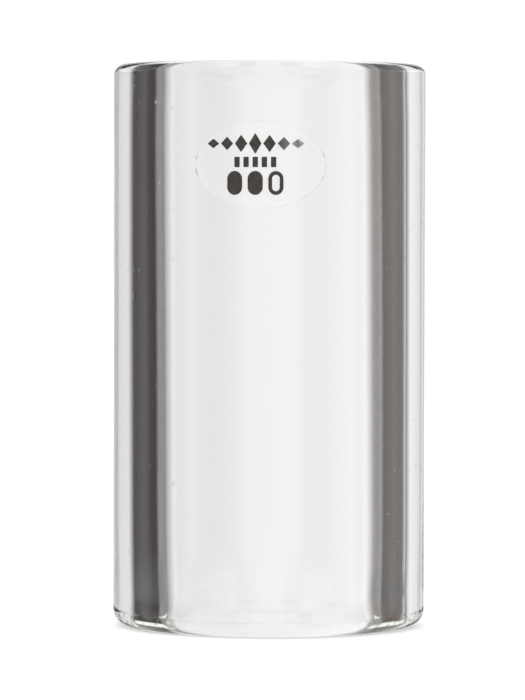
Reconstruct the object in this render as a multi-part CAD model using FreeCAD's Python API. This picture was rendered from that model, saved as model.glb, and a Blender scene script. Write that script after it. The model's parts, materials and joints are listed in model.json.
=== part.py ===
"""Short, heavy-wall glass guitar slide with a clear oval size label.

The slide is one length of thick borosilicate tube, open at both ends, that a player wears on a
finger. Its four end edges are fire-polished into round lips. A clear oval sticker near the top
carries the printed marks: a row of lozenges, a row of short dashes and three bold size bars.

Units are millimetres. +Z runs along the bore, the slide stands on its lower end at z = 0, and the
label faces -Y. The origin is the centre of the lower end.
"""

import FreeCAD
import Part
import math
import os

from FreeCAD import Vector

# Glass tube
OUTER_DIAMETER = 28.8
BORE_DIAMETER = 21.0
LENGTH = 51.8
OUTER_ROUND_BOTTOM = 1.55
OUTER_ROUND_TOP = 0.95
INNER_ROUND_BOTTOM = 1.0
INNER_ROUND_TOP = 0.9

# Layers of the sticker, from the glass outwards
ADHESIVE_THICKNESS = 0.03
FILM_THICKNESS = 0.08
INK_THICKNESS = 0.03

# Oval of the sticker, seen square on, and how far round the tube its middle lies
LABEL_WIDTH = 11.75
LABEL_HEIGHT = 7.85
LABEL_MIDDLE_Z = 42.4
LABEL_TURN_DEG = -3.6
ADHESIVE_INSET = 0.1

# Printed marks: each row is centred on the same upright line of the sticker
PRINT_TURN_DEG = -5.2
LOZENGE_COUNT = 7
LOZENGE_PITCH = 1.28
LOZENGE_WIDTH = 1.12
LOZENGE_HEIGHT_MIDDLE = 1.9
LOZENGE_HEIGHT_END = 0.85
LOZENGE_Z = 44.3
DASH_COUNT = 5
DASH_PITCH = 0.82
DASH_WIDTH = 0.48
DASH_HEIGHT = 0.92
DASH_Z = 42.65
BAR_COUNT = 3
BARS_FILLED = 2
BAR_PITCH = 1.85
BAR_WIDTH = 1.36
BAR_HEIGHT = 2.14
BAR_OUTLINE_WEIGHT = 0.34
BAR_Z = 40.78

# Where each layer starts, measured from the tube's axis
GLASS_RADIUS = OUTER_DIAMETER / 2
BORE_RADIUS = BORE_DIAMETER / 2
FILM_RADIUS = GLASS_RADIUS + ADHESIVE_THICKNESS
INK_RADIUS = FILM_RADIUS + FILM_THICKNESS

PARTS_FOLDER = "parts"
ORIGIN = Vector(0, 0, 0)
UP = Vector(0, 0, 1)
OUTWARD = Vector(0, -1, 0)


def quarter_round(start, corner, end, radius):
    """The arc that rounds a square corner, from start to end."""
    centre = start + end - corner
    middle = centre + (corner - centre).normalize() * radius
    return Part.Arc(start, middle, end).toShape()


def glass_tube():
    """The tube's wall, turned about Z from a section with four rounded corners."""
    # Each corner in order round the section: place, rounding, way in and way out
    corners = [
        (Vector(BORE_RADIUS, 0, 0), INNER_ROUND_BOTTOM, Vector(0, 0, -1), Vector(1, 0, 0)),
        (Vector(GLASS_RADIUS, 0, 0), OUTER_ROUND_BOTTOM, Vector(1, 0, 0), Vector(0, 0, 1)),
        (Vector(GLASS_RADIUS, 0, LENGTH), OUTER_ROUND_TOP, Vector(0, 0, 1), Vector(-1, 0, 0)),
        (Vector(BORE_RADIUS, 0, LENGTH), INNER_ROUND_TOP, Vector(-1, 0, 0), Vector(0, 0, -1)),
    ]
    starts = [corner - way_in * radius for corner, radius, way_in, _ in corners]
    ends = [corner + way_out * radius for corner, radius, _, way_out in corners]
    edges = []
    for i, (corner, radius, _, _) in enumerate(corners):
        next_start = starts[(i + 1) % len(corners)]
        edges.append(quarter_round(starts[i], corner, ends[i], radius))
        edges.append(Part.LineSegment(ends[i], next_start).toShape())
    section = Part.Face(Part.Wire(edges))
    return section.revolve(ORIGIN, UP, 360)


def layer_piece(outline, turn_deg, inner_radius, thickness):
    """A thin solid on the tube: a flat outline, drawn in XZ about x = 0, pressed onto one layer."""
    outline.translate(OUTWARD * (inner_radius / 2))
    prism = outline.extrude(OUTWARD * inner_radius)
    prism.rotate(ORIGIN, UP, turn_deg)
    layer = Part.makeCylinder(inner_radius + thickness, LENGTH)
    layer = layer.cut(Part.makeCylinder(inner_radius, LENGTH))
    return layer.common(prism).Solids[0]


def oval(width, height, middle_z):
    """A flat ellipse in XZ, wider than it is tall."""
    middle = Vector(0, 0, middle_z)
    ellipse = Part.Ellipse(Vector(width / 2, 0, middle_z), Vector(0, 0, middle_z + height / 2), middle)
    return Part.Face(Part.Wire(ellipse.toShape()))


def polygon(points):
    """A flat face in XZ from its (x, z) corners."""
    corners = [Vector(x, 0, z) for x, z in points]
    return Part.Face(Part.makePolygon(corners + corners[:1]))


def lozenge(width, height, middle_z):
    """A flat diamond in XZ."""
    return polygon([
        (-width / 2, middle_z),
        (0, middle_z - height / 2),
        (width / 2, middle_z),
        (0, middle_z + height / 2),
    ])


def dash(width, height, middle_z):
    """A flat upright dash in XZ."""
    low = middle_z - height / 2
    high = middle_z + height / 2
    return polygon([(-width / 2, low), (width / 2, low), (width / 2, high), (-width / 2, high)])


def bar(width, height, middle_z):
    """A flat upright bar in XZ with half-round ends."""
    side = width / 2
    high = middle_z + height / 2
    low = middle_z - height / 2
    upper = Part.Arc(Vector(side, 0, high - side), Vector(0, 0, high), Vector(-side, 0, high - side))
    lower = Part.Arc(Vector(-side, 0, low + side), Vector(0, 0, low), Vector(side, 0, low + side))
    edges = [
        upper,
        Part.LineSegment(upper.EndPoint, lower.StartPoint),
        lower,
        Part.LineSegment(lower.EndPoint, upper.StartPoint),
    ]
    return Part.Face(Part.Wire([edge.toShape() for edge in edges]))


def row_offsets(count, pitch):
    """Even places along a row, centred on zero."""
    return [(i - (count - 1) / 2) * pitch for i in range(count)]


def printed(outline, offset):
    """One printed mark on the film, at that distance round the tube from the print's middle."""
    turn_deg = PRINT_TURN_DEG + math.degrees(offset / INK_RADIUS)
    return layer_piece(outline, turn_deg, INK_RADIUS, INK_THICKNESS)


def label_adhesive():
    """The clear glue under the film, which stops just short of the film's edge."""
    width = LABEL_WIDTH - 2 * ADHESIVE_INSET
    height = LABEL_HEIGHT - 2 * ADHESIVE_INSET
    return layer_piece(oval(width, height, LABEL_MIDDLE_Z), LABEL_TURN_DEG, GLASS_RADIUS, ADHESIVE_THICKNESS)


def label_film():
    """The clear oval film."""
    outline = oval(LABEL_WIDTH, LABEL_HEIGHT, LABEL_MIDDLE_Z)
    return layer_piece(outline, LABEL_TURN_DEG, FILM_RADIUS, FILM_THICKNESS)


def print_lozenges():
    """A row of lozenges, tallest in the middle."""
    steps_to_end = (LOZENGE_COUNT - 1) / 2
    height_step = (LOZENGE_HEIGHT_MIDDLE - LOZENGE_HEIGHT_END) / steps_to_end
    pieces = []
    for x in row_offsets(LOZENGE_COUNT, LOZENGE_PITCH):
        height = LOZENGE_HEIGHT_MIDDLE - height_step * abs(x) / LOZENGE_PITCH
        pieces.append(printed(lozenge(LOZENGE_WIDTH, height, LOZENGE_Z), x))
    return Part.makeCompound(pieces)


def print_dashes():
    """A short row of small upright dashes."""
    offsets = row_offsets(DASH_COUNT, DASH_PITCH)
    return Part.makeCompound([printed(dash(DASH_WIDTH, DASH_HEIGHT, DASH_Z), x) for x in offsets])


def print_size_bars():
    """Bold upright bars: the filled ones count the size, and the rest are outlines."""
    hole_width = BAR_WIDTH - 2 * BAR_OUTLINE_WEIGHT
    hole_height = BAR_HEIGHT - 2 * BAR_OUTLINE_WEIGHT
    pieces = []
    for i, x in enumerate(row_offsets(BAR_COUNT, BAR_PITCH)):
        outline = bar(BAR_WIDTH, BAR_HEIGHT, BAR_Z)
        if i >= BARS_FILLED:
            outline = outline.cut(bar(hole_width, hole_height, BAR_Z)).Faces[0]
        pieces.append(printed(outline, x))
    return Part.makeCompound(pieces)


def main():
    nodes = {
        "glass_tube": glass_tube(),
        "label_adhesive": label_adhesive(),
        "label_film": label_film(),
        "print_lozenges": print_lozenges(),
        "print_dashes": print_dashes(),
        "print_size_bars": print_size_bars(),
    }
    os.makedirs(PARTS_FOLDER, exist_ok=True)
    for name, shape in nodes.items():
        shape.exportStep(os.path.join(PARTS_FOLDER, name + ".step"))
        print(f"{name}: {len(shape.Solids)} solids, {shape.Volume:.4f} mm3, valid {shape.isValid()}")


main()
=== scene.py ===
"""The looks of a short, heavy-wall glass guitar slide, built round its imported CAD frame.

The tube stands upright on a pale lit table. It is lit the way a product photographer lights glass: a
white card behind it, and darker screens to its sides, which the thick wall bends into dark bands.
Lengths are in metres unless a name ends in _MM, and angles round the tube are in degrees from -Y, the
side that the label faces, growing towards +X, so that 180 is straight behind.
"""

import json
import math

import bmesh
import bpy
from mathutils import Matrix, Vector, noise


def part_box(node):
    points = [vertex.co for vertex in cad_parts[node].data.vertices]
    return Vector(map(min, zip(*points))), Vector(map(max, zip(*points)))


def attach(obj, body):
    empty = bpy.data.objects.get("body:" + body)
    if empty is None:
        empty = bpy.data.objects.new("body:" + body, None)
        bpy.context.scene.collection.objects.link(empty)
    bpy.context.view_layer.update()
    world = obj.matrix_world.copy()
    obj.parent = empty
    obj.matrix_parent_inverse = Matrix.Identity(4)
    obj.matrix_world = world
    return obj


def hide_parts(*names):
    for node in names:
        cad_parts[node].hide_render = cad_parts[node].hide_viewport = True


MM = 0.001

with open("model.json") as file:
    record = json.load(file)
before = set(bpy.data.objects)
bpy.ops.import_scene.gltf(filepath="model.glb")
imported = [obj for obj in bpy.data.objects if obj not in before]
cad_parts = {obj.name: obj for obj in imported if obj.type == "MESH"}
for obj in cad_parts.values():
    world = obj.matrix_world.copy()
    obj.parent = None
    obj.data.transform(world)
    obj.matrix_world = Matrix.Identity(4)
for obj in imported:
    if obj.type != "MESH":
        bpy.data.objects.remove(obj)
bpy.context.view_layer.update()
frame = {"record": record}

# ---------------------------------------------------------------- sizes, worked out from the frame
TUBE_LOW, TUBE_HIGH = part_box("glass_tube")
OUTER_RADIUS = (TUBE_HIGH.x - TUBE_LOW.x) / 2
LENGTH = TUBE_HIGH.z - TUBE_LOW.z
MOUNTS = {mount["name"]: mount for mount in frame["record"]["mounts"]}
BORE_RADIUS = MOUNTS["finger_bore"]["dims"]["r_mm"] * MM

# Fire-polished lips, as in the CAD section
OUTER_ROUND_BOTTOM = 1.55 * MM
OUTER_ROUND_TOP = 0.95 * MM
INNER_ROUND_BOTTOM = 1.0 * MM
INNER_ROUND_TOP = 0.9 * MM

# Layers of the sticker, from the glass outwards
ADHESIVE_THICKNESS = 0.03 * MM
FILM_THICKNESS = 0.08 * MM
INK_THICKNESS = 0.03 * MM
FILM_RADIUS = OUTER_RADIUS + ADHESIVE_THICKNESS
INK_RADIUS = FILM_RADIUS + FILM_THICKNESS

# Oval of the sticker, seen square on
FILM_LOW, FILM_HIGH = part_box("label_film")
LABEL_WIDTH = 11.75 * MM
LABEL_HEIGHT = FILM_HIGH.z - FILM_LOW.z
LABEL_MIDDLE_Z = (FILM_HIGH.z + FILM_LOW.z) / 2
LABEL_TURN_DEG = -3.6
ADHESIVE_INSET = 0.1 * MM

# Printed marks
PRINT_TURN_DEG = -5.2
LOZENGE_COUNT = 7
LOZENGE_PITCH = 1.28 * MM
LOZENGE_WIDTH = 1.12 * MM
LOZENGE_HEIGHT_MIDDLE = 1.9 * MM
LOZENGE_HEIGHT_END = 0.85 * MM
LOZENGE_Z = 44.3 * MM
DASH_COUNT = 5
DASH_PITCH = 0.82 * MM
DASH_WIDTH = 0.48 * MM
DASH_HEIGHT = 0.92 * MM
DASH_Z = 42.65 * MM
BAR_COUNT = 3
BARS_FILLED = 2
BAR_PITCH = 1.85 * MM
BAR_WIDTH = 1.36 * MM
BAR_HEIGHT = 2.14 * MM
BAR_OUTLINE_WEIGHT = 0.34 * MM
BAR_Z = 40.78 * MM

# How strongly borosilicate glass bends light
BOROSILICATE_IOR = 1.474

# Mesh density of the glass
SEGMENTS_ROUND = 480
STEPS_ALONG = 40
STEPS_LIP = 16
STEPS_END_FACE = 3

# How uneven drawing and fire-polishing leave the glass
BORE_WAVE = 0.02 * MM
BORE_LEAN = 0.22 * MM
BORE_CLOSES_LOW = (0.15 * MM, 5.5 * MM)
BORE_CLOSES_HIGH = (0.08 * MM, 4.0 * MM)
BEAD_HEIGHT = 0.02 * MM
BEAD_FROM_END = 2.2 * MM
BEAD_WIDTH = 1.1 * MM
SKIN_WAVE = 0.003 * MM
LIP_WAVE = 0.03 * MM
LIP_DIMPLE = 0.022 * MM

# How ragged the print's edges are, and how round its corners
INK_RAGGED = 0.01 * MM
INK_CORNER = 0.05 * MM

# ---------------------------------------------------------------- camera
CAMERA_DISTANCE = 0.4126
CAMERA_HEIGHT = 0.03735
CAMERA_TILT_DEG = 1.65
CAMERA_ROLL_DEG = 0.16
CAMERA_ASIDE = -0.00062
LENS_MM = 229.5

# ---------------------------------------------------------------- studio
ROOM_WHITE = 1.05
TABLE_RADIUS = 3.0
TABLE_GLOW = 0.3


def grey(value):
    return (value, value, value)


WHITE = grey(1.0)

# A white card stands behind the tube, with one radius of clear space between them, lit a little more
# from the right. Its two ends fade into soft shade. Its sizes are in tube radii.
CARD_BEHIND = 2.0
CARD_HALF_HEIGHT = 7.0
CARD_HALF_WIDTH = 1.8
CARD_FADE = 0.4
CARD_LEFT_GLOW = 0.85
CARD_RIGHT_GLOW = 1.0
CARD_SHADE = grey(0.1)

# Screens stand in a ring round the tube, level with it: from and to, and how bright. Across a gap the
# light changes evenly from one screen to the next.
DOME_RADIUS = 1.2
RIGHT_SCREEN_GREY = (0.14, 0.12, 0.11)
SCREENS = [
    ("front_softbox", -25, 25, grey(0.8)),
    ("right_front_flag", 35, 70, grey(0.25)),
    ("right_side_panel", 80, 100, grey(0.8)),
    ("right_grey_screen", 110, 150, RIGHT_SCREEN_GREY),
    ("backdrop", 160, 195, WHITE),
    ("left_black_screen", 205, 245, (0.03, 0.02, 0.02)),
    ("left_side_panel", 255, 285, grey(0.8)),
    ("left_front_flag", 295, 325, grey(0.25)),
]
# Above and below that ring, a wider dark screen stands on each side behind the tube
DARK_SCREENS = [
    ("right_dark_screen", 100, 155, grey(0.12)),
    ("left_dark_screen", 200, 250, grey(0.06)),
]
# Low down, narrow flags at even turns on each side of the front draw the tube's edges from every side
EDGE_FLAG_TURNS = (22.5, 67.5, 292.5, 337.5)
EDGE_FLAG_HALF_WIDTH = 7
EDGE_FLAG_SHADE = grey(0.1)
FLAG_SOFT_EDGE = 5
# A strip light runs all round, just above the ring of screens
STRIP_COLOUR = (0.97, 1.0, 0.95)
UNDERSIDE_COLOUR = grey(0.45)
# How high above the horizon one light gives way to the next, in degrees
LOW_SCREENS_BELOW = (-7, -9)
PLAIN_WHITE_BELOW = (-26, -32)
UNDERSIDE_BELOW = (-60, -72)
STRIP_ABOVE = (8, 10)
HIGH_SCREENS_ABOVE = (15, 18)
CEILING_ABOVE = (45, 58)


# ---------------------------------------------------------------- glass
def arc_points(centre, radius, start_deg, end_deg, steps):
    """Points (r, z) on an arc, without its last point."""
    points = []
    for i in range(steps):
        angle = math.radians(start_deg + (end_deg - start_deg) * i / steps)
        points.append((centre[0] + radius * math.cos(angle), centre[1] + radius * math.sin(angle)))
    return points


def line_points(start, end, steps):
    """Points on a straight run, without its last point."""
    return [
        (start[0] + (end[0] - start[0]) * i / steps, start[1] + (end[1] - start[1]) * i / steps)
        for i in range(steps)
    ]


def wall_section():
    """The closed section of the tube's wall as (r, z), starting low in the bore and going up."""
    low_in = (BORE_RADIUS + INNER_ROUND_BOTTOM, INNER_ROUND_BOTTOM)
    high_in = (BORE_RADIUS + INNER_ROUND_TOP, LENGTH - INNER_ROUND_TOP)
    high_out = (OUTER_RADIUS - OUTER_ROUND_TOP, LENGTH - OUTER_ROUND_TOP)
    low_out = (OUTER_RADIUS - OUTER_ROUND_BOTTOM, OUTER_ROUND_BOTTOM)
    points = line_points((BORE_RADIUS, low_in[1]), (BORE_RADIUS, high_in[1]), STEPS_ALONG)
    points += arc_points(high_in, INNER_ROUND_TOP, 180, 90, STEPS_LIP)
    points += line_points((high_in[0], LENGTH), (high_out[0], LENGTH), STEPS_END_FACE)
    points += arc_points(high_out, OUTER_ROUND_TOP, 90, 0, STEPS_LIP)
    points += line_points((OUTER_RADIUS, high_out[1]), (OUTER_RADIUS, low_out[1]), STEPS_ALONG)
    points += arc_points(low_out, OUTER_ROUND_BOTTOM, 0, -90, STEPS_LIP)
    points += line_points((low_out[0], 0), (low_in[0], 0), STEPS_END_FACE)
    points += arc_points(low_in, INNER_ROUND_BOTTOM, 270, 180, STEPS_LIP)
    return points


def add_piece(name, bm, materials, replaced_node):
    """Turns a finished bmesh into a smooth piece that rides on the tube's body in a node's place."""
    bmesh.ops.recalc_face_normals(bm, faces=bm.faces)
    mesh = bpy.data.meshes.new(name)
    bm.to_mesh(mesh)
    bm.free()
    mesh.shade_smooth()
    for material in materials:
        mesh.materials.append(material)
    piece = bpy.data.objects.new(name, mesh)
    bpy.context.scene.collection.objects.link(piece)
    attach(piece, "root")
    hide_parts(replaced_node)
    return piece


def ring_noise(angle, z, seed, cells_round, z_scale):
    """Smooth noise from about -1 to 1 that closes on itself round the tube."""
    across = cells_round * math.cos(angle) + seed
    return noise.noise(Vector((across, cells_round * math.sin(angle), z / z_scale)))


def drawn_point(r, z, angle):
    """A point of the wall, moved by the slight unevenness that drawing and fire-polishing leave."""
    from_end = min(z, LENGTH - z)
    aside = 0
    if r < (BORE_RADIUS + OUTER_RADIUS) / 2:
        aside = BORE_LEAN * (0.5 - z / LENGTH)
        r += BORE_WAVE * ring_noise(angle, z, 3.0, 1.6, 0.03)
        for (depth, reach), away in ((BORE_CLOSES_LOW, z), (BORE_CLOSES_HIGH, LENGTH - z)):
            r -= depth * math.exp(-((away / reach) ** 2))
        r -= BEAD_HEIGHT * math.exp(-(((from_end - BEAD_FROM_END) / BEAD_WIDTH) ** 2))
    else:
        r -= SKIN_WAVE * (1 + ring_noise(angle, z, 11.0, 1.6, 0.02))
        if z < OUTER_ROUND_BOTTOM:
            depth = math.sin(math.pi * z / OUTER_ROUND_BOTTOM)
            r -= LIP_DIMPLE * depth * (1 + ring_noise(angle, z, 31.0, 16.0, 0.0012))
    end = 1 - from_end / (3 * MM)
    if end > 0:
        inward = 1 if z < LENGTH / 2 else -1
        z += inward * LIP_WAVE * end * (1 + ring_noise(angle, z, 23.0, 1.6, 0.05)) / 2
    return Vector((r * math.sin(angle) + aside, -r * math.cos(angle), z))


def glass_tube(material):
    """The tube as one smooth closed mesh, turned from its wall section."""
    section = wall_section()
    bm = bmesh.new()
    rings = []
    for i in range(SEGMENTS_ROUND):
        angle = 2 * math.pi * i / SEGMENTS_ROUND
        rings.append([bm.verts.new(drawn_point(r, z, angle)) for r, z in section])
    for i, ring in enumerate(rings):
        join_rings(bm, ring, rings[(i + 1) % SEGMENTS_ROUND])
    return add_piece("glass_tube_polished", bm, [material], "glass_tube")


def join_rings(bm, ring, following, material_index=0):
    """Faces between two closed rings of vertices. The first may be a single middle vertex."""
    for j in range(len(following)):
        k = (j + 1) % len(following)
        if len(ring) == 1:
            face = bm.faces.new((ring[0], following[k], following[j]))
        else:
            face = bm.faces.new((ring[j], ring[k], following[k], following[j]))
        face.material_index = material_index


# ---------------------------------------------------------------- sticker
def rounded_outline(corners, radius, side_step=0.06 * MM, arc_steps=5):
    """A convex outline (u, v) through corners given anticlockwise, each rounded to that radius."""
    points = []
    count = len(corners)
    for i, corner in enumerate(corners):
        here = Vector(corner)
        back = (Vector(corners[i - 1]) - here).normalized()
        ahead = (Vector(corners[(i + 1) % count]) - here).normalized()
        half = back.angle(ahead) / 2
        start = here + back * (radius / math.tan(half))
        end = here + ahead * (radius / math.tan(half))
        centre = here + (back + ahead).normalized() * (radius / math.sin(half))
        if points:
            steps = max(2, round((start - Vector(points[-1])).length / side_step))
            points += line_points(points[-1], start, steps)[1:]
        for j in range(arc_steps + 1):
            direction = (start - centre).lerp(end - centre, j / arc_steps).normalized()
            points.append(tuple(centre + direction * radius))
    steps = max(2, round((Vector(points[0]) - Vector(points[-1])).length / side_step))
    return points + line_points(points[-1], points[0], steps)[1:]


def oval_outline(width, height, middle_z, steps=144):
    """An ellipse (u, v), wider than it is tall."""
    angles = [2 * math.pi * i / steps for i in range(steps)]
    return [(width / 2 * math.cos(a), middle_z + height / 2 * math.sin(a)) for a in angles]


def lozenge_outline(width, height, middle_z):
    corners = [
        (width / 2, middle_z),
        (0, middle_z + height / 2),
        (-width / 2, middle_z),
        (0, middle_z - height / 2),
    ]
    return rounded_outline(corners, INK_CORNER)


def upright_outline(width, height, middle_z, radius):
    """A tall rectangle with rounded corners."""
    corners = [
        (width / 2, middle_z - height / 2),
        (width / 2, middle_z + height / 2),
        (-width / 2, middle_z + height / 2),
        (-width / 2, middle_z - height / 2),
    ]
    return rounded_outline(corners, radius)


def shrunk(outline, share, middle_z):
    """The outline at a share of its size, about the middle of its piece."""
    return [(u * share, middle_z + (v - middle_z) * share) for u, v in outline]


def between(inner, outer, share):
    """A loop part of the way from one outline to another with the same number of points."""
    return [(a + (c - a) * share, b + (d - b) * share) for (a, b), (c, d) in zip(inner, outer)]


def on_tube(point, radius, turn_deg):
    """Where a flat drawing's (u, v) lands when it is pressed square-on onto the tube."""
    angle = math.asin(point[0] / radius) + math.radians(turn_deg)
    return Vector((radius * math.sin(angle), -radius * math.cos(angle), point[1]))


def press_on(bm, loops, turn_deg, inner_radius, thickness, edge_share=1.0, edge_material=0):
    """Adds a thin closed layer whose loops run from its middle, or its hole, to its edge.

    The outermost loop of its face has only edge_share of the thickness, so that the edge is rounded.
    """
    heights = [thickness] * (len(loops) - 1) + [thickness * edge_share]
    face_rings = []
    back_rings = []
    for loop, height in zip(loops, heights):
        face_rings.append([bm.verts.new(on_tube(p, inner_radius + height, turn_deg)) for p in loop])
        back_rings.append([bm.verts.new(on_tube(p, inner_radius, turn_deg)) for p in loop])
    last = len(loops) - 1
    for i in range(last):
        material_index = edge_material if i >= last - 2 else 0
        join_rings(bm, face_rings[i], face_rings[i + 1], material_index)
        join_rings(bm, back_rings[i], back_rings[i + 1])
    join_rings(bm, face_rings[last], back_rings[last], edge_material)
    if len(loops[0]) > 1:
        join_rings(bm, face_rings[0], back_rings[0])


def solid_loops(outline, middle_z, shares):
    """Loops that fill an outline from its middle point out."""
    return [[(0.0, middle_z)]] + [shrunk(outline, share, middle_z) for share in shares]


def label_adhesive(material):
    """The clear glue under the film, which stops just short of the film's edge."""
    width = LABEL_WIDTH - 2 * ADHESIVE_INSET
    height = LABEL_HEIGHT - 2 * ADHESIVE_INSET
    outline = oval_outline(width, height, LABEL_MIDDLE_Z)
    bm = bmesh.new()
    loops = solid_loops(outline, LABEL_MIDDLE_Z, (0.2, 0.4, 0.6, 0.8, 0.95, 1.0))
    press_on(bm, loops, LABEL_TURN_DEG, OUTER_RADIUS, ADHESIVE_THICKNESS)
    return add_piece("label_adhesive_clear", bm, [material], "label_adhesive")


def label_film(material, edge_material):
    """The clear oval film, with the narrow rim that gathers dust as a second material."""
    outline = oval_outline(LABEL_WIDTH, LABEL_HEIGHT, LABEL_MIDDLE_Z)
    bm = bmesh.new()
    loops = solid_loops(outline, LABEL_MIDDLE_Z, (0.15, 0.3, 0.45, 0.6, 0.75, 0.88, 0.95, 0.983, 0.993, 1.0))
    press_on(bm, loops, LABEL_TURN_DEG, FILM_RADIUS, FILM_THICKNESS, edge_share=0.6, edge_material=1)
    return add_piece("label_film_oval", bm, [material, edge_material], "label_film")


def ragged(outline, middle_z, seed):
    """An outline with the slight raggedness of a printed edge."""
    moved = []
    for u, v in outline:
        out = Vector((u, v - middle_z)).normalized()
        push = INK_RAGGED * noise.noise(Vector((u / (0.12 * MM), v / (0.12 * MM), seed)))
        moved.append((u + out.x * push, v + out.y * push))
    return moved


def print_mark(bm, outline, middle_z, along, seed, hole=None):
    """One mark, at that distance round the tube from the print's middle."""
    turn_deg = PRINT_TURN_DEG + math.degrees(along / INK_RADIUS)
    edge = ragged(outline, middle_z, seed)
    if hole:
        inner = ragged(hole, middle_z, seed)
        loops = [between(inner, edge, share) for share in (0.0, 0.5, 1.0)]
    else:
        loops = solid_loops(edge, middle_z, (0.35, 0.7, 0.9, 1.0))
    press_on(bm, loops, turn_deg, INK_RADIUS, INK_THICKNESS)


def row_offsets(count, pitch):
    """Even places along a row, centred on zero."""
    return [(i - (count - 1) / 2) * pitch for i in range(count)]


def print_lozenges(ink):
    """A row of lozenges, tallest in the middle."""
    steps_to_end = (LOZENGE_COUNT - 1) / 2
    height_step = (LOZENGE_HEIGHT_MIDDLE - LOZENGE_HEIGHT_END) / steps_to_end
    bm = bmesh.new()
    for i, along in enumerate(row_offsets(LOZENGE_COUNT, LOZENGE_PITCH)):
        height = LOZENGE_HEIGHT_MIDDLE - height_step * abs(along) / LOZENGE_PITCH
        print_mark(bm, lozenge_outline(LOZENGE_WIDTH, height, LOZENGE_Z), LOZENGE_Z, along, i)
    return add_piece("print_lozenges_ink", bm, [ink], "print_lozenges")


def print_dashes(ink):
    """A short row of small upright dashes."""
    bm = bmesh.new()
    for i, along in enumerate(row_offsets(DASH_COUNT, DASH_PITCH)):
        outline = upright_outline(DASH_WIDTH, DASH_HEIGHT, DASH_Z, INK_CORNER)
        print_mark(bm, outline, DASH_Z, along, 10 + i)
    return add_piece("print_dashes_ink", bm, [ink], "print_dashes")


def print_size_bars(ink):
    """Bold upright bars with round ends: the filled ones count the size."""
    bm = bmesh.new()
    hole_width = BAR_WIDTH - 2 * BAR_OUTLINE_WEIGHT
    hole_height = BAR_HEIGHT - 2 * BAR_OUTLINE_WEIGHT
    for i, along in enumerate(row_offsets(BAR_COUNT, BAR_PITCH)):
        outline = upright_outline(BAR_WIDTH, BAR_HEIGHT, BAR_Z, BAR_WIDTH / 2)
        hole = None
        if i >= BARS_FILLED:
            hole = upright_outline(hole_width, hole_height, BAR_Z, hole_width / 2)
        print_mark(bm, outline, BAR_Z, along, 20 + i, hole)
    return add_piece("print_size_bars_ink", bm, [ink], "print_size_bars")


# ---------------------------------------------------------------- materials
def new_material(name):
    """A material, its node tree and its Principled node."""
    material = bpy.data.materials.new(name)
    material.use_nodes = True
    nodes = material.node_tree.nodes
    return material, material.node_tree, nodes["Principled BSDF"]


def noise_node(tree, scale, stretch=(1, 1, 1), detail=2.0):
    """Noise in the object's own space, with scale in cells per metre along an unstretched axis."""
    place = tree.nodes.new("ShaderNodeTexCoord")
    mapping = tree.nodes.new("ShaderNodeMapping")
    mapping.inputs["Scale"].default_value = stretch
    texture = tree.nodes.new("ShaderNodeTexNoise")
    texture.inputs["Scale"].default_value = scale
    texture.inputs["Detail"].default_value = detail
    tree.links.new(place.outputs["Object"], mapping.inputs["Vector"])
    tree.links.new(mapping.outputs["Vector"], texture.inputs["Vector"])
    return texture.outputs["Fac"]


def remap(tree, value, from_min, from_max, to_min=0.0, to_max=1.0):
    """value, brought from one range to another and held inside it."""
    share = tree.nodes.new("ShaderNodeMapRange")
    share.inputs["From Min"].default_value = from_min
    share.inputs["From Max"].default_value = from_max
    share.inputs["To Min"].default_value = to_min
    share.inputs["To Max"].default_value = to_max
    tree.links.new(value, share.inputs["Value"])
    return share.outputs["Result"]


def math_node(tree, operation, *values):
    """The result of a Math node whose inputs are sockets or plain numbers."""
    node = tree.nodes.new("ShaderNodeMath")
    node.operation = operation
    for i, value in enumerate(values):
        if isinstance(value, (int, float)):
            node.inputs[i].default_value = value
        else:
            tree.links.new(value, node.inputs[i])
    return node.outputs["Value"]


def mix_colour(tree, share, under, over):
    """A colour between two, which are sockets or plain colours."""
    node = tree.nodes.new("ShaderNodeMix")
    node.data_type = "RGBA"
    tree.links.new(share, node.inputs[0])
    for socket, colour in ((node.inputs[6], under), (node.inputs[7], over)):
        if isinstance(colour, tuple):
            socket.default_value = (*colour, 1)
        else:
            tree.links.new(colour, socket)
    return node.outputs[2]


def object_axis(tree, axis):
    """One coordinate of the object's own space, in metres."""
    place = tree.nodes.new("ShaderNodeTexCoord")
    split = tree.nodes.new("ShaderNodeSeparateXYZ")
    tree.links.new(place.outputs["Object"], split.inputs["Vector"])
    return split.outputs[axis]


def bump(tree, shader, height, distance):
    """Raises the surface by height times distance."""
    node = tree.nodes.new("ShaderNodeBump")
    node.inputs["Strength"].default_value = 1.0
    node.inputs["Distance"].default_value = distance
    tree.links.new(height, node.inputs["Height"])
    tree.links.new(node.outputs["Normal"], shader.inputs["Normal"])


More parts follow.
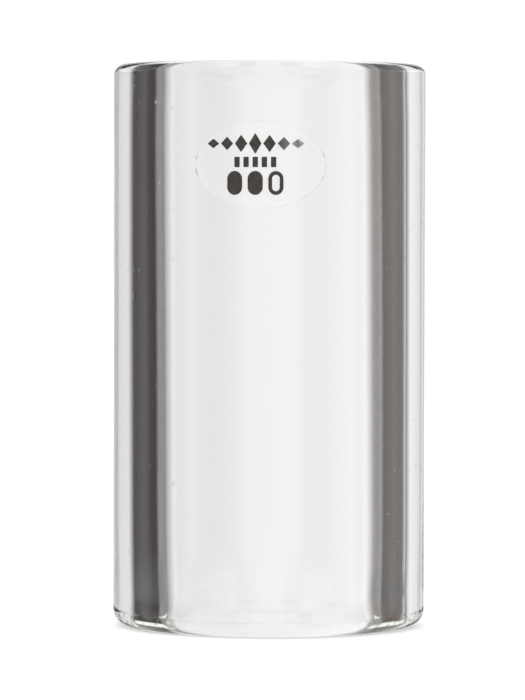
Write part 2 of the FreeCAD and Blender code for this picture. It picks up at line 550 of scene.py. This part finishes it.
def glass_material():
    """Clear glass with drawn striae and a few marks. On its lower lip, front left and right, bumps roughen it
    and olive flecks are painted into its colour as glints.
    """
    material, tree, shader = new_material("borosilicate_glass")
    z = object_axis(tree, "Z")
    from_end = math_node(tree, "MINIMUM", z, math_node(tree, "SUBTRACT", LENGTH, z))
    lip = remap(tree, from_end, 2.2 * MM, 0.4 * MM)
    aside = math_node(tree, "ABSOLUTE", object_axis(tree, "X"))
    sides = remap(tree, aside, 0.55 * OUTER_RADIUS, 0.7 * OUTER_RADIUS)
    front = remap(tree, object_axis(tree, "Y"), 0.0, -0.1 * OUTER_RADIUS)
    lower_lip = math_node(tree, "MULTIPLY", front, remap(tree, z, 1.7 * MM, 1.4 * MM))
    # The front left and right of the lower lip: roughened by bump and given painted olive glints
    rough_and_glint_patch = math_node(tree, "MULTIPLY", sides, lower_lip)
    clear = mix_colour(tree, lip, (0.986, 0.987, 0.986), (0.96, 0.975, 0.955))
    # Painted glints: olive flecks in the glass's colour stand in for the green sparkle that the rough lower
    # lip throws
    glint_flecks = remap(tree, noise_node(tree, 1500, (1, 1, 1.6), 2.0), 0.52, 0.60)
    painted_olive_glints = math_node(tree, "MULTIPLY", rough_and_glint_patch, glint_flecks)
    tree.links.new(mix_colour(tree, painted_olive_glints, clear, (0.45, 0.44, 0.28)), shader.inputs["Base Color"])
    smears = remap(tree, noise_node(tree, 130, (1, 1, 0.35), 5.0), 0.52, 0.75, 0.0, 0.015)
    specks = remap(tree, noise_node(tree, 1900, detail=0.0), 0.815, 0.835, 0.0, 0.25)
    tree.links.new(math_node(tree, "ADD", smears, specks), shader.inputs["Roughness"])
    striae = noise_node(tree, 700, (1, 1, 0.01), 0.0)
    chips = math_node(tree, "MULTIPLY", rough_and_glint_patch, noise_node(tree, 1500, (1, 1, 1.6), 2.0))
    bump(tree, shader, math_node(tree, "MULTIPLY_ADD", chips, 10.0, striae), 0.0005 * MM)
    shader.inputs["IOR"].default_value = BOROSILICATE_IOR
    shader.inputs["Transmission Weight"].default_value = 1.0
    return material


def clear_layer(name, colour, alpha, roughness):
    """A clear sheet that shows mostly by its gloss, with slight cloudiness and ripples."""
    material, tree, shader = new_material(name)
    shader.inputs["Base Color"].default_value = (*colour, 1)
    cloud = noise_node(tree, 700, detail=3.0)
    tree.links.new(remap(tree, cloud, 0.3, 0.7, alpha * 0.6, alpha * 1.4), shader.inputs["Alpha"])
    tree.links.new(remap(tree, cloud, 0.3, 0.7, roughness * 0.8, roughness * 1.3), shader.inputs["Roughness"])
    bump(tree, shader, noise_node(tree, 450, detail=2.0), 0.002 * MM)
    return material


def film_edge_material():
    """The film's cut edge: almost unseen, with brown dust gathered in a few patches."""
    material, tree, shader = new_material("label_edge_dust")
    places = remap(tree, noise_node(tree, 260, detail=1.0), 0.50, 0.62)
    grains = remap(tree, noise_node(tree, 1600, detail=4.0), 0.50, 0.64)
    dust = math_node(tree, "MULTIPLY", places, grains)
    colour = mix_colour(tree, dust, (0.66, 0.64, 0.62), (0.24, 0.18, 0.13))
    tree.links.new(colour, shader.inputs["Base Color"])
    tree.links.new(remap(tree, dust, 0.0, 1.0, 0.14, 0.6), shader.inputs["Alpha"])
    shader.inputs["Roughness"].default_value = 0.6
    return material


def ink_material():
    """Brown-black ink: mottled, and worn to a thin grey towards the right-hand end of the top row."""
    material, tree, shader = new_material("brown_black_ink")
    mottle = remap(tree, noise_node(tree, 3500, detail=3.0), 0.35, 0.7)
    full = mix_colour(tree, mottle, (0.022, 0.016, 0.013), (0.05, 0.038, 0.031))
    to_the_right = remap(tree, object_axis(tree, "X"), 0.6 * MM, 3.6 * MM)
    top_row = remap(tree, object_axis(tree, "Z"), 43.1 * MM, 43.3 * MM)
    worn_there = math_node(tree, "MULTIPLY", to_the_right, top_row)
    speckle = remap(tree, noise_node(tree, 5200, detail=4.0), 0.40, 0.60)
    patchy = math_node(tree, "MULTIPLY_ADD", speckle, 0.55, 0.45)
    worn = math_node(tree, "MULTIPLY", worn_there, patchy)
    tree.links.new(mix_colour(tree, worn, full, (0.42, 0.40, 0.38)), shader.inputs["Base Color"])
    tree.links.new(remap(tree, mottle, 0.0, 1.0, 0.38, 0.6), shader.inputs["Roughness"])
    bump(tree, shader, mottle, 0.003 * MM)
    return material


def light_material(name):
    """A material that only gives light, its node tree and its light's node."""
    material = bpy.data.materials.new(name)
    material.use_nodes = True
    tree = material.node_tree
    tree.nodes.clear()
    light = tree.nodes.new("ShaderNodeEmission")
    output = tree.nodes.new("ShaderNodeOutputMaterial")
    tree.links.new(light.outputs["Emission"], output.inputs["Surface"])
    return material, tree, light


def ramp_between(tree, value, low, high, stops):
    """A colour that changes evenly from stop to stop as value goes from low to high."""
    ramp = tree.nodes.new("ShaderNodeValToRGB")
    elements = ramp.color_ramp.elements
    places = [((place - low) / (high - low), colour) for place, colour in stops]
    for element, (position, colour) in zip(elements, (places[0], places[-1])):
        element.position = position
        element.color = (*colour, 1)
    for position, colour in places[1:-1]:
        elements.new(position).color = (*colour, 1)
    tree.links.new(remap(tree, value, low, high), ramp.inputs["Fac"])
    return ramp.outputs["Color"]


# ---------------------------------------------------------------- studio
def stage_object(name, mesh, material):
    piece = bpy.data.objects.new(name, mesh)
    bpy.context.scene.collection.objects.link(piece)
    mesh.materials.append(material)
    return piece


def hide_from_all_but_glass(piece):
    """The camera and the table's light look past this piece."""
    piece.visible_camera = False
    piece.visible_diffuse = False
    piece.visible_shadow = False


def backdrop_card_material():
    material, tree, light = light_material("backdrop_card")
    stops = [
        (-CARD_HALF_WIDTH, CARD_SHADE),
        (CARD_FADE - CARD_HALF_WIDTH, grey(CARD_LEFT_GLOW)),
        (CARD_HALF_WIDTH - CARD_FADE, grey(CARD_RIGHT_GLOW)),
        (CARD_HALF_WIDTH, CARD_SHADE),
    ]
    across = math_node(tree, "DIVIDE", object_axis(tree, "X"), OUTER_RADIUS)
    glow = ramp_between(tree, across, -CARD_HALF_WIDTH, CARD_HALF_WIDTH, stops)
    tree.links.new(glow, light.inputs["Color"])
    return material


def backdrop_card():
    """A white card behind the tube, which only the glass sees."""
    side = CARD_HALF_WIDTH * OUTER_RADIUS
    top = CARD_HALF_HEIGHT * OUTER_RADIUS
    mesh = bpy.data.meshes.new("backdrop_card")
    corners = [(-side, 0, -top), (side, 0, -top), (side, 0, top), (-side, 0, top)]
    mesh.from_pydata(corners, [], [(0, 1, 2, 3)])
    piece = stage_object("backdrop_card", mesh, backdrop_card_material())
    piece.location = (0, CARD_BEHIND * OUTER_RADIUS, LENGTH / 2)
    hide_from_all_but_glass(piece)


def level_stops():
    """The stops of the screens at the tube's own level, from 180 degrees round to 180 again."""
    stops = [(0, WHITE), (360, WHITE)]
    for name, start, end, colour in SCREENS:
        for angle in (start, end):
            stops.append(((angle + 180) % 360, colour))
    return sorted(stops)


def flag_ring(tree, turn_deg, flags):
    """The light at a turn from straight behind, where flags with soft edges stand in white light."""
    stops = [(0, WHITE), (360, WHITE)]
    for name, start, end, shade in flags:
        places = (start - FLAG_SOFT_EDGE, start, end, end + FLAG_SOFT_EDGE)
        stops += zip([(place + 180) % 360 for place in places], (WHITE, shade, shade, WHITE))
    return ramp_between(tree, turn_deg, 0, 360, sorted(stops))


def dome_material():
    """Light that depends on the direction from the tube: screens round it, in layers by height."""
    material, tree, light = light_material("studio_dome")
    x, y, z = (object_axis(tree, axis) for axis in "XYZ")
    # atan2(x, -y) is 0 towards the label. The ramps start straight behind, at -180 degrees.
    turn = math_node(tree, "ARCTAN2", x, math_node(tree, "MULTIPLY", y, -1.0))
    turn_deg = math_node(tree, "ADD", math_node(tree, "DEGREES", turn), 180.0)
    colour = ramp_between(tree, turn_deg, 0, 360, level_stops())
    edge_flags = [
        ("edge_flag", turn - EDGE_FLAG_HALF_WIDTH, turn + EDGE_FLAG_HALF_WIDTH, EDGE_FLAG_SHADE)
        for turn in EDGE_FLAG_TURNS
    ]
    layers = [
        (LOW_SCREENS_BELOW, flag_ring(tree, turn_deg, DARK_SCREENS + edge_flags)),
        (PLAIN_WHITE_BELOW, WHITE),
        (UNDERSIDE_BELOW, UNDERSIDE_COLOUR),
        (STRIP_ABOVE, STRIP_COLOUR),
        (HIGH_SCREENS_ABOVE, flag_ring(tree, turn_deg, DARK_SCREENS)),
        (CEILING_ABOVE, WHITE),
    ]
    for (start, end), over in layers:
        edges = [DOME_RADIUS * math.sin(math.radians(angle)) for angle in (start, end)]
        colour = mix_colour(tree, remap(tree, z, *edges), colour, over)
    tree.links.new(colour, light.inputs["Color"])
    return material


def dome():
    """The rest of the studio as the glass sees it: the camera and the table look past it."""
    bm = bmesh.new()
    bmesh.ops.create_uvsphere(bm, u_segments=96, v_segments=64, radius=DOME_RADIUS)
    mesh = bpy.data.meshes.new("studio_dome")
    bm.to_mesh(mesh)
    bm.free()
    piece = stage_object("studio_dome", mesh, dome_material())
    piece.location = (0, 0, LENGTH / 2)
    hide_from_all_but_glass(piece)


def lit_table():
    """A pale table that glows a little. The glass sees the screens in its place."""
    material, tree, shader = new_material("pale_table")
    shader.inputs["Base Color"].default_value = (0.95, 0.95, 0.95, 1)
    shader.inputs["Roughness"].default_value = 0.9
    shader.inputs["Specular IOR Level"].default_value = 0.0
    shader.inputs["Emission Color"].default_value = (1, 1, 1, 1)
    shader.inputs["Emission Strength"].default_value = TABLE_GLOW
    bm = bmesh.new()
    bmesh.ops.create_circle(bm, cap_ends=True, segments=96, radius=TABLE_RADIUS)
    mesh = bpy.data.meshes.new("lit_table")
    bm.to_mesh(mesh)
    bm.free()
    piece = stage_object("lit_table", mesh, material)
    piece.visible_transmission = False
    piece.visible_glossy = False


def room_light():
    world = bpy.data.worlds.new("white_room")
    bpy.context.scene.world = world
    world.use_nodes = True
    background = world.node_tree.nodes["Background"]
    background.inputs["Color"].default_value = (1, 1, 1, 1)
    background.inputs["Strength"].default_value = ROOM_WHITE


def camera():
    """The camera stands level with the upper part of the tube and looks slightly down."""
    data = bpy.data.cameras.new("camera")
    data.lens = LENS_MM
    data.sensor_width = 36
    data.clip_start = 0.01
    data.clip_end = 20
    data.dof.use_dof = False
    eye = bpy.data.objects.new("camera", data)
    bpy.context.scene.collection.objects.link(eye)
    upright = Matrix.Rotation(math.radians(90 - CAMERA_TILT_DEG), 4, "X")
    roll = Matrix.Rotation(math.radians(CAMERA_ROLL_DEG), 4, "Z")
    eye.matrix_world = Matrix.Translation((CAMERA_ASIDE, -CAMERA_DISTANCE, CAMERA_HEIGHT)) @ upright @ roll
    bpy.context.scene.camera = eye


def render_look():
    """Plain colours, and enough bounces for light to cross four curved glass surfaces."""
    bpy.context.scene.view_settings.view_transform = "Standard"
    bpy.context.scene.cycles.max_bounces = 24
    bpy.context.scene.cycles.transmission_bounces = 24
    bpy.context.scene.cycles.glossy_bounces = 16


def main():
    camera()
    room_light()
    dome()
    backdrop_card()
    lit_table()
    glass_tube(glass_material())
    label_adhesive(clear_layer("clear_glue", (0.92, 0.92, 0.90), 0.03, 0.4))
    label_film(clear_layer("clear_label_film", (0.93, 0.93, 0.92), 0.06, 0.22), film_edge_material())
    ink = ink_material()
    print_lozenges(ink)
    print_dashes(ink)
    print_size_bars(ink)
    render_look()


main()
